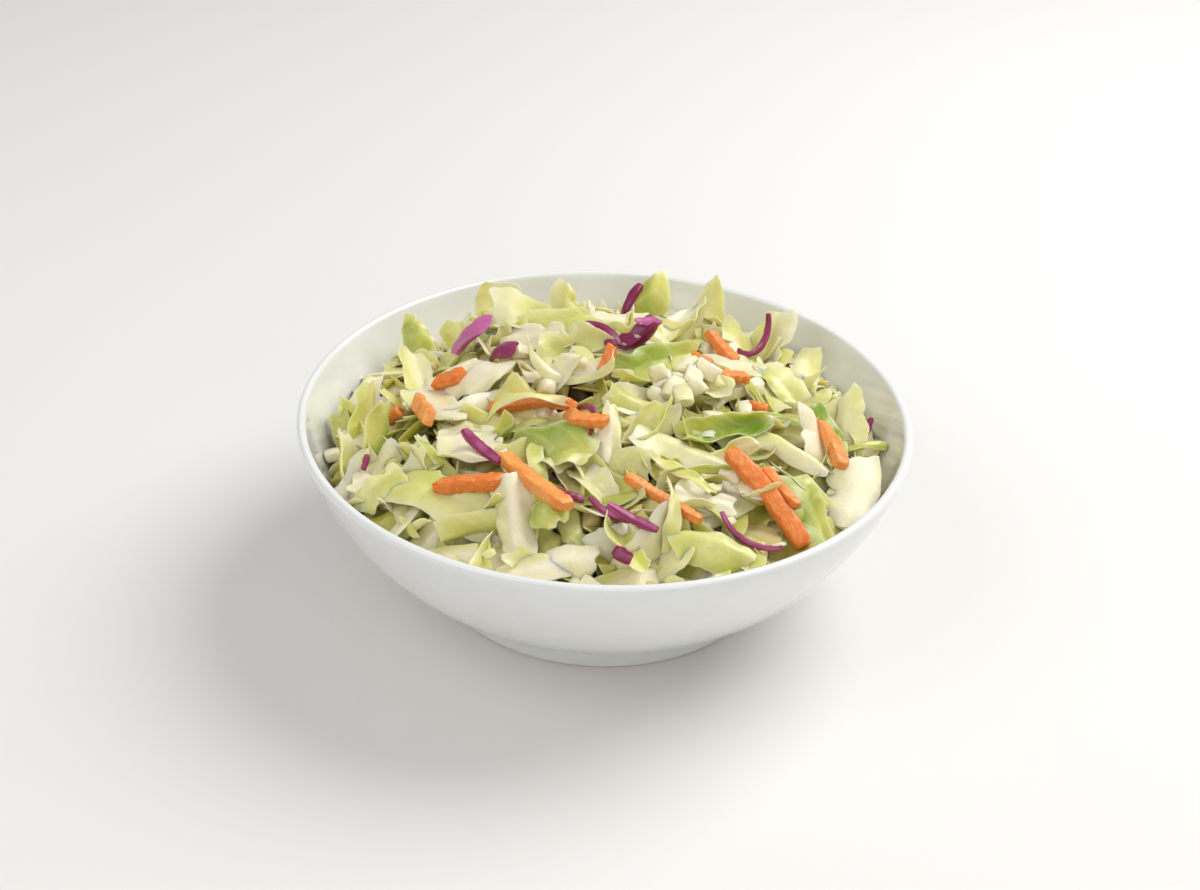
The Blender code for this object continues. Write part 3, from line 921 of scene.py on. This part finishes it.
# x, y, heading, pitch, roll, length, width, height, flesh, bow, sweep, twist
PLACED_RED_SHREDS = (
    (-29, -33, -50, 4, 0, 14, 2.8, 1.8, 0.75, 0.25, 0.25, 0.9),
    (-9, -49, -12, 4, 30, 10, 2.4, 1.6, 0.05, -0.40, 0.20, 0.2),
    (2, -50, -42, 4, 10, 14, 1.7, 1.6, 0.70, 0.80, 0.50, 0.3),
    (7, -54, -24, 4, 0, 13, 2.4, 1.5, 0.80, 0.50, -0.10, 0.4),
    (34, -51, -10, 0, -20, 18, 1.6, 1.5, 0.85, 1.40, 0.20, 0.1),
    (-4, -20, -75, 20, 50, 21, 1.5, 1.1, 0.20, 0.30, -1.50, 0.2),
    (40, 32, 60, 20, 55, 20, 1.9, 1.5, 0.25, 0.20, 2.30, 0.2),
    (6, 49, 30, 25, 20, 10, 2.6, 1.8, 0.05, -0.80, 0.30, 0.5),
    (5, -64, -40, 20, 20, 5, 3.2, 1.2, 0.00, 0.10, 0.10, 0.0),
    (-58, -24, 60, 30, 0, 4, 1.6, 1.2, 0.30, 0.10, 0.10, 0.0),
    (68, 6, 60, 50, 0, 5, 1.6, 1.0, 0.40, 0.10, 0.10, 0.0),
)

# x, y, heading, pitch, roll, length, width, share of flesh, bow, cup
PLACED_RED_LEAVES = (
    (8, 17, 0, 26, 16, 13, 10.5, 0.00, 1.2, 2.2),
    (10, 17, 30, 20, 20, 7, 4.5, 0.50, 0.9, 1.6),
    (-2, 21, -50, -8, 14, 14, 5.2, 0.00, -0.6, -1.4),
    (-36, 18, 5, 45, 0, 12, 9.0, 0.70, -0.5, 1.2),
    (-27, 11, -60, 35, 30, 15, 6.0, 0.10, -0.7, -1.4),
)


def lay_placed_leaves(field, chance, colours):
    """Lays the leaves, ribs and ribbons that have a place of their own."""
    for kind, x, y, heading, pitch, roll, span, width, green, bow, cup, twist, point, rib in PLACED_LEAVES:
        inner, outer = leaf_colours(chance, colours, green)
        if kind == "ribs":
            inner = colours.rib
        shape = leaf(
            chance, (span * MM, width * MM), inner, outer, bow=bow, cup=cup, twist=twist, point=point,
            skew=chance.uniform(-0.3, 0.3), ruffle=0.0008, rib=rib * MM, thickness=0.0012 if rib else 0.0007,
            fold=0 if rib else chance.choice((-0.35, 0.35)),
            grid=(28, 5) if kind == "ribbons" else (22, 14),
        )
        lay_turned(field, kind, shape, x, y, heading, pitch, roll, sink=0.30 if pitch > STANDING else 0.16)


def lay_placed_colour(field, chance, colours):
    """Lays the carrot sticks and the red cabbage that have a place of their own, on top of the rest."""
    for x, y, heading, pitch, roll, span, width, flesh, bow, cup in PLACED_RED_LEAVES:
        inner = mix(colours.skin, colours.flesh, flesh)
        outer = mix(colours.skin, colours.flesh, flesh * 1.3)
        shape = leaf(
            chance, (span * MM, width * MM), inner, outer, pale_rim=0, bow=bow, cup=cup, thickness=0.0013
        )
        lay_turned(field, "red_cabbage", shape, x, y, heading, pitch, roll, sink=0.10)
    for x, y, heading, pitch, roll, span, width, height, flesh, bow, sweep, twist in PLACED_RED_SHREDS:
        shape = red_shred(chance, colours, (span * MM, width * MM, height * MM), flesh, bow, sweep, twist)
        lay_turned(field, "red_cabbage", shape, x, y, heading, pitch, roll, sink=0.10)
    for x, y, heading, pitch, span, width, height, pale, bow, sweep in PLACED_CARROTS:
        shape = carrot(chance, colours, (span * MM, width * MM, height * MM), pale, bow, sweep)
        lay_turned(field, "carrots", shape, x, y, heading, pitch, chance.uniform(-20, 20), sink=0.22)


def lay_turned(field, kind, shape, x, y, heading, pitch, roll, sink):
    """Lays a shred at a place in millimetres, turned in degrees; one that stands ignores the slope."""
    turns = (math.radians(heading), math.radians(pitch), math.radians(roll))
    field.lay(kind, shape, x * MM, y * MM, *turns, sink=sink, lean=0 if pitch > STANDING else 1)


DICE_CLUSTER = (0.021, -0.001)
# painted shade: the random shreds of the lower layers are darkened and yellowed, the lowest most
UNDER_LAYER_SHADE = (0.88, 0.84, 0.54)
UPPER_LAYER_SHADE = (0.98, 0.98, 0.92)
STATE = {}


class SLAW_OT_bowl(bpy.types.Operator):
    """Turn the glazed bowl with its rounded lip and foot ring"""

    bl_idname = "slaw.bowl"
    bl_label = "Bowl"

    def execute(self, context):
        sizes, colours = context.scene.slaw_bowl, context.scene.slaw_colours
        radius, height, slope = outer_wall(sizes)
        inner_radius, inner_height = inside_line(sizes)
        half = sizes.rim_wall / 2
        lip = (radius[-1] - half * math.sin(slope[-1]), height[-1] + half * math.cos(slope[-1]))
        profile = list(zip(inner_radius, inner_height))
        lip_steps = 10
        for i in range(1, lip_steps):
            turn = slope[-1] + math.pi / 2 - math.pi * i / lip_steps
            profile.append((lip[0] + half * math.cos(turn), lip[1] + half * math.sin(turn)))
        profile += list(zip(radius[::-1], height[::-1]))
        outer, inner, soft = sizes.foot_radius, sizes.foot_radius - sizes.foot_width, 0.0006
        profile += [(outer - 0.0002, sizes.foot_height - 0.0008), (outer, sizes.foot_height - 0.0020)]
        for corner, side in (((outer, soft), 1), ((inner, soft), -1)):
            steps = [math.pi / 2 * i / 4 for i in range(5)]
            if side < 0:
                steps = steps[::-1]
            for step in steps:
                x = corner[0] + side * (soft * math.cos(step) - soft)
                profile.append((x, soft - soft * math.sin(step)))
        profile += [(inner - soft, sizes.recess - soft), (inner - 3 * soft, sizes.recess), (0, sizes.recess)]
        bowl = turned("glazed_bowl", profile, sizes.segments, glaze_material(colours), "porcelain")
        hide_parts("bowl")
        return {"FINISHED"}


class SLAW_OT_core(bpy.types.Operator):
    """Make the heap's core, in relief, under the loose shreds"""

    bl_idname = "slaw.core"
    bl_label = "Core"

    SIDES = 160
    TOP_RINGS = 59
    UNDER_RINGS = 10

    def execute(self, context):
        sizes, colours = context.scene.slaw_heap, context.scene.slaw_colours
        field = HeapField(context.scene.slaw_bowl, sizes)
        STATE["field"] = field
        chance = random.Random(sizes.seed)
        turns = np.linspace(0, 2 * math.pi, self.SIDES, endpoint=False)
        low = float(dome(sizes, HEAP_HIGH.x)) - sizes.cover
        edge = float(np.interp(low, field.wall_height, field.wall_radius)) - field.CLEAR
        along = np.linspace(0, 1, self.TOP_RINGS + 1)[1:, None]
        x, y = along * edge * np.cos(turns), along * edge * np.sin(turns)
        ripple = 0.0013 * wave(chance, (x, y), 0.009) + 0.0008 * wave(chance, (x, y), 0.004)
        z = heap_height(sizes, x, y) - sizes.cover + ripple * (1 - along**6)
        bottom_radius = np.linspace(edge, 0, self.UNDER_RINGS + 2)[1:-1, None]
        under_x, under_y = bottom_radius * np.cos(turns), bottom_radius * np.sin(turns)
        under = np.interp(bottom_radius, field.wall_radius, field.wall_height) + field.CLEAR
        under = np.broadcast_to(under, under_x.shape)
        points = np.concatenate([np.stack([x, y, z], -1), np.stack([under_x, under_y, under], -1)])
        ends = [(0, 0, z[0].mean()), (0, 0, under[-1, 0])]
        faces = [face[::-1] for face in stick_faces(len(points), len(turns))]
        mesh = bpy.data.meshes.new("slaw_core")
        mesh.from_pydata(np.concatenate([points.reshape(-1, 3), ends]), [], faces)
        core = link_object("slaw_core", mesh, core_material(colours), "slaw")
        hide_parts("coleslaw")
        return {"FINISHED"}


def lay_at_random(field, chance, count, kinds, most, tone=(1, 1, 1)):
    """Lays shreds in the heap's hollows where they fit, of kinds given as (share, name, steepness, maker).

    Every colour is multiplied by this tone: light that reaches the lower shreds through leaf is yellower.
    """
    shares = [row[0] for row in kinds]
    for _ in range(count):
        _, name, steep, maker = chance.choices(kinds, weights=shares)[0]
        x, y = field.hollow(chance, 8, 0.069)
        heading = chance.uniform(-math.pi, math.pi)
        pitch, roll = chance.gauss(0, 0.5) * steep, chance.gauss(0, 0.8) * steep
        shape = maker()
        # painted shade multiplied into the shred's tint
        if name != "carrots":
            shape.tint = shape.tint * np.array(tone)
        field.lay(name, shape, x, y, heading, pitch, roll, sink=0.25 + 0.2 * steep, most=most)


class SLAW_OT_lay(bpy.types.Operator):
    """Lay every shred on the heap, the lower ones first"""

    bl_idname = "slaw.lay"
    bl_label = "Lay the shreds"

    def execute(self, context):
        sizes, colours, field = context.scene.slaw_heap, context.scene.slaw_colours, STATE["field"]
        chance = random.Random(sizes.seed)
        kinds = [
            (0.30, "pale_leaves", 0.4, lambda: cut_leaf(chance, colours, "flake", 0.15, 0.50)),
            (0.14, "green_leaves", 0.4, lambda: cut_leaf(chance, colours, "flake", 0.55, 0.85)),
            (0.16, "ribbons", 0.9, lambda: cut_leaf(chance, colours, "ribbon", 0.1, 0.7)),
            (0.14, "ribs", 0.4, lambda: cut_leaf(chance, colours, "rib", 0.15, 0.5)),
            (0.16, "dice", 0.6, lambda: die(chance, colours)),
            (0.03, "carrots", 0.4, lambda: carrot_bit(chance, colours)),
            (0.03, "red_cabbage", 0.4, lambda: red_shred(chance, colours)),
        ]
        lay_at_random(field, chance, sizes.under_count, kinds, most=0.0, tone=UNDER_LAYER_SHADE)
        upper = [
            (0.54, "pale_leaves", 0.8, lambda: cut_leaf(chance, colours, "flake", 0.05, 0.50)),
            (0.10, "green_leaves", 0.8, lambda: cut_leaf(chance, colours, "flake", 0.50, 0.80)),
            (0.16, "ribbons", 1.1, lambda: cut_leaf(chance, colours, "ribbon", 0.1, 0.75)),
            (0.10, "ribs", 0.6, lambda: cut_leaf(chance, colours, "rib", 0.1, 0.4)),
            (0.10, "dice", 0.8, lambda: die(chance, colours)),
        ]
        lay_at_random(field, chance, sizes.upper_count, upper, most=0.0032, tone=UPPER_LAYER_SHADE)
        lay_placed_leaves(field, chance, colours)
        lay_at_random(field, chance, sizes.last_count, upper[2:], most=0.0042)
        for _ in range(sizes.dice_count):
            x = DICE_CLUSTER[0] + chance.gauss(0, 0.007)
            y = DICE_CLUSTER[1] + chance.gauss(0, 0.005)
            turns = [chance.uniform(-limit, limit) for limit in (3.1, 0.5, 0.5)]
            field.lay("dice", die(chance, colours), x, y, *turns, sink=0.3, most=0.006)
        lay_placed_colour(field, chance, colours)
        bits = [(1.0, "crumbs", 0.5, lambda: cut_leaf(chance, colours, "crumb", 0, 0.6))]
        lay_at_random(field, chance, sizes.crumb_count, bits, most=0.004)
        return {"FINISHED"}


def kinds_operator(key, label, text, pieces):
    """An operator that joins the laid shreds of some kinds, given as (name, material maker) pairs."""

    def execute(self, context):
        for name, maker in pieces:
            joined(name, STATE["field"].laid[name], maker())
        return {"FINISHED"}

    body = {"__doc__": text, "bl_idname": "slaw." + key, "bl_label": label, "execute": execute}
    return type("SLAW_OT_" + key, (bpy.types.Operator,), body)


SLAW_OT_leaves = kinds_operator("leaves", "Leaves", "Join the pale and the green pieces of leaf", [
    ("pale_leaves", lambda: vegetable("pale leaf", veins=(0.0055, 0.12), contrast=0.08, bump=0.2)),
    ("green_leaves", lambda: vegetable("green leaf", veins=(0.0060, 0.14), contrast=0.10, bump=0.2)),
    ("ribbons", lambda: vegetable("leaf ribbon", veins=(0.0045, 0.08), contrast=0.05, bump=0.15)),
])
SLAW_OT_ribs = kinds_operator("ribs", "Ribs and dice", "Join the white ribs, the dice and the crumbs", [
    ("ribs", lambda: vegetable("rib", contrast=0.09, size=0.003, bump=0.25, glow=0.6)),
    ("dice", lambda: vegetable("stalk", contrast=0.09, size=0.002, bump=0.3, glow=0.6)),
    ("crumbs", lambda: vegetable("crumb", contrast=0.06, size=0.002, bump=0.2, glow=0.5)),
])
# size and stretch of the flecks, their strength and their colour
CARROT_FLECKS = (0.0006, 0.35, 0.45, linear(250, 194, 124))
SKIN_FLECKS = (0.0004, 0.06, 0.22, linear(216, 112, 174))
SLAW_OT_carrots = kinds_operator("carrots", "Carrots", "Join the carrot sticks and bits", [
    ("carrots", lambda: vegetable(
        "carrot", flecks=CARROT_FLECKS, contrast=0.14, size=0.0014, bump=0.5, glow=0.3
    )),
])
SLAW_OT_red_cabbage = kinds_operator("red_cabbage", "Red cabbage", "Join the shreds of red cabbage", [
    ("red_cabbage", lambda: vegetable(
        "red cabbage", flecks=SKIN_FLECKS, contrast=0.2, film=0.15, dry=0.45, glow=0.1
    )),
])


class SLAW_OT_stage(bpy.types.Operator):
    """Set the pale floor, the soft lights and the camera"""

    bl_idname = "slaw.stage"
    bl_label = "Stage"

    LENS = 55.0
    SENSOR = 36.0
    DISTANCE = 6.0  # rim radii from the rim's centre to the camera
    ELEVATION = math.radians(30.83)
    ROLL = math.radians(2.03)
    AIM_DROP = 0.147  # rim radii from the rim's plane down to what the camera looks at
    AIM_SIDE = -0.014  # rim radii to the right of the axis
    FLOOR_REACH = 15.0
    FLOOR_SIDES = 64

    def execute(self, context):
        scene = context.scene
        self.floor()
        self.lights(scene)
        self.camera(scene)
        scene.view_settings.view_transform = "Standard"
        scene.view_settings.look = "None"
        return {"FINISHED"}

    def floor(self):
        material, graph, shader = new_material("pale floor", roughness=0.7)
        place = graph.add("ShaderNodeTexCoord").outputs["Object"]
        cloud = graph.noise(place, 3.0, 2.0, 0.5)
        tint = graph.blend(cloud, (*linear(226, 224, 220), 1), (*linear(232, 230, 226), 1))
        graph.feed(shader, [("Base Color", tint)])
        mesh = bpy.data.meshes.new("floor")
        turns = [2 * math.pi * i / self.FLOOR_SIDES for i in range(self.FLOOR_SIDES)]
        reach = self.FLOOR_REACH
        corners = [(reach * math.cos(turn), reach * math.sin(turn), 0) for turn in turns]
        mesh.from_pydata(corners, [], [tuple(range(self.FLOOR_SIDES))])
        link_object("floor", mesh, material, None)

    def lights(self, scene):
        world = bpy.data.worlds.new("studio")
        scene.world = world
        world.use_nodes = True
        background = world.node_tree.nodes["Background"]
        background.inputs["Color"].default_value = (1.0, 1.0, 1.0, 1)
        background.inputs["Strength"].default_value = 0.40
        aim = Vector((0, 0, RIM_HEIGHT / 2))
        for name, place, size, power in (
            ("key", (0.55, 0.30, 0.75), 0.75, 8.0),
            ("fill", (-0.70, -0.40, 0.80), 0.90, 3.6),
            ("front", (0.20, -0.90, 0.60), 0.80, 1.6),
        ):
            data = bpy.data.lights.new(name, "AREA")
            data.shape = "DISK"
            data.size = size
            data.energy = power
            lamp = bpy.data.objects.new(name, data)
            lamp.location = place
            lamp.rotation_euler = (aim - Vector(place)).to_track_quat("-Z", "Y").to_euler()
            scene.collection.objects.link(lamp)

    def camera(self, scene):
        data = bpy.data.cameras.new("camera")
        data.lens = self.LENS
        data.sensor_width = self.SENSOR
        data.clip_start = 0.01
        camera = bpy.data.objects.new("camera", data)
        centre = Vector((0, 0, RIM_HEIGHT))
        away = Vector((0, -math.cos(self.ELEVATION), math.sin(self.ELEVATION)))
        camera.location = centre + away * self.DISTANCE * RIM_RADIUS
        aim = centre + Vector((self.AIM_SIDE, 0, -self.AIM_DROP)) * RIM_RADIUS
        look = (aim - camera.location).to_track_quat("-Z", "Y").to_matrix()
        camera.rotation_euler = (look @ Matrix.Rotation(self.ROLL, 3, "Z")).to_euler()
        scene.collection.objects.link(camera)
        scene.camera = camera


class SLAW_PT_panel(bpy.types.Panel):
    """The pieces of the bowl of slaw, in the order they are made"""

    bl_idname = "SLAW_PT_panel"
    bl_label = "Coleslaw in a bowl"
    bl_space_type = "VIEW_3D"
    bl_region_type = "UI"
    bl_category = "Slaw"

    def draw(self, context):
        for group, heading in (("slaw_bowl", "Bowl"), ("slaw_heap", "Heap"), ("slaw_colours", "Colours")):
            settings = getattr(context.scene, group)
            box = self.layout.box()
            box.label(text=heading)
            for name in type(settings).__annotations__:
                box.prop(settings, name)
        for operator in OPERATORS:
            self.layout.operator(operator.bl_idname)


GROUPS = {"slaw_bowl": SlawBowlSizes, "slaw_heap": SlawHeapSizes, "slaw_colours": SlawColours}
OPERATORS = (
    SLAW_OT_bowl, SLAW_OT_core, SLAW_OT_lay, SLAW_OT_leaves, SLAW_OT_ribs, SLAW_OT_carrots,
    SLAW_OT_red_cabbage, SLAW_OT_stage,
)


def register():
    for group in (*GROUPS.values(), *OPERATORS, SLAW_PT_panel):
        bpy.utils.register_class(group)
    for name, group in GROUPS.items():
        setattr(bpy.types.Scene, name, bpy.props.PointerProperty(type=group))


def unregister():
    for name in GROUPS:
        delattr(bpy.types.Scene, name)
    for group in (SLAW_PT_panel, *reversed(OPERATORS), *GROUPS.values()):
        bpy.utils.unregister_class(group)


def main():
    register()
    for operator in OPERATORS:
        key = operator.bl_idname.split(".")[1]
        getattr(bpy.ops.slaw, key)()


if __name__ == "__main__":
    main()
